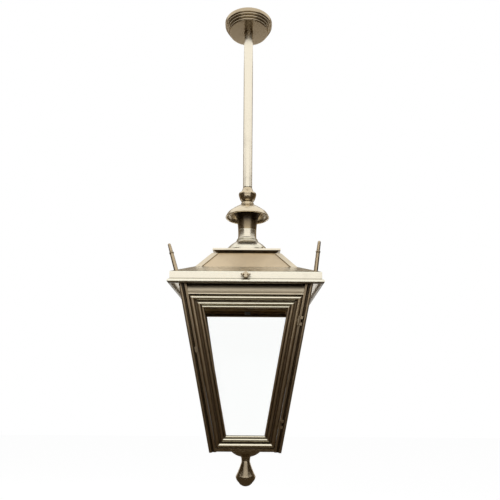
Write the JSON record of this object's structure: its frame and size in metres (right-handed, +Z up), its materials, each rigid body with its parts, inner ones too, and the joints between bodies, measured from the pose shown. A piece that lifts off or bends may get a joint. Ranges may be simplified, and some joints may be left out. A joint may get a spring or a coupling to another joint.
{
  "type": "hanging porch lantern",
  "caption": "Tapered square brass lantern with clear glazed sides, a hinged front and a hipped roof, hung from a ceiling rose by a rigid rod.",
  "frame": {"origin": "the ceiling plane, on the line of the rod, midway between the bracket's slots", "axes": "+Z up towards the ceiling, the hinged front faces -Y, the door's hinges are on +X"},
  "size_m": [0.3084, 0.314, 1.0265],
  "materials": {
    "aged_brass": "cast and turned brass, toned and lacquered, fairly glossy",
    "brass_sheet": "folded sheet brass, toned and lacquered, soft gloss",
    "zinc_steel": "zinc-plated steel",
    "dark_plastic": "moulded, matt black",
    "clear_glass": "clear float glass"
  },
  "bodies": {
    "lantern": {"back_frame_bottom_rail": "aged_brass", "back_frame_left_stile": "aged_brass", "back_frame_right_stile": "aged_brass", "back_frame_top_rail": "aged_brass", "back_glass": "clear_glass", "base_boss": "aged_brass", "base_nut": "zinc_steel", "base_plate": "brass_sheet", "base_ring": "aged_brass", "bell_cowl": "aged_brass", "cap_plate": "brass_sheet", "ceiling_bracket": "zinc_steel", "ceiling_rose": "aged_brass", "corner_finial_back_left": "aged_brass", "corner_finial_back_right": "aged_brass", "corner_finial_front_left": "aged_brass", "corner_finial_front_right": "aged_brass", "corner_post_back_left": "aged_brass", "corner_post_back_right": "aged_brass", "corner_post_front_left": "aged_brass", "corner_post_front_right": "aged_brass", "crown_collar": "aged_brass", "crown_cup": "aged_brass", "crown_screws": "aged_brass", "crown_stem": "zinc_steel", "eaves_tray": "brass_sheet", "glazing_clips": "zinc_steel", "hinge_pins": "zinc_steel", "hip_roof": "brass_sheet", "hip_straps": "aged_brass", "lampholder": "dark_plastic", "left_frame_bottom_rail": "aged_brass", "left_frame_left_stile": "aged_brass", "left_frame_right_stile": "aged_brass", "left_frame_top_rail": "aged_brass", "left_glass": "clear_glass", "pendant_finial": "aged_brass", "post_hinge_knuckles": "aged_brass", "right_frame_bottom_rail": "aged_brass", "right_frame_left_stile": "aged_brass", "right_frame_right_stile": "aged_brass", "right_frame_top_rail": "aged_brass", "right_glass": "clear_glass", "rod_knuckle": "aged_brass", "rod_lock_nuts": "zinc_steel", "rose_screws": "zinc_steel", "stem_nut": "zinc_steel", "suspension_rod": "aged_brass", "terminal_block": "dark_plastic", "top_ring": "brass_sheet"},
    "door": {"door_bottom_rail": "aged_brass", "door_glass": "clear_glass", "door_glazing_clips": "zinc_steel", "door_hinge_knuckles": "aged_brass", "door_left_stile": "aged_brass", "door_right_stile": "aged_brass", "door_top_rail": "aged_brass"},
    "door_button": {"door_catch": "aged_brass"},
    "wing_catch": {"thumb_catch": "aged_brass"}
  },
  "joints": [
    {"name": "door_hinge", "type": "hinge", "parent": "lantern", "child": "door", "pos_m": [0.10526, -0.12173, -0.6728], "axis": [0.164, -0.164, 0.9727], "range_deg": [0, 110]},
    {"name": "door_button_turn", "type": "hinge", "parent": "lantern", "child": "door_button", "pos_m": [-0.09963, -0.10768, -0.7273], "axis": [0, -0.9861, -0.1663], "range_deg": [0, 90]},
    {"name": "wing_catch_turn", "type": "hinge", "parent": "lantern", "child": "wing_catch", "pos_m": [0, -0.1485, -0.5896], "axis": [0, -1, 0], "range_deg": [0, 90]}
  ]
}
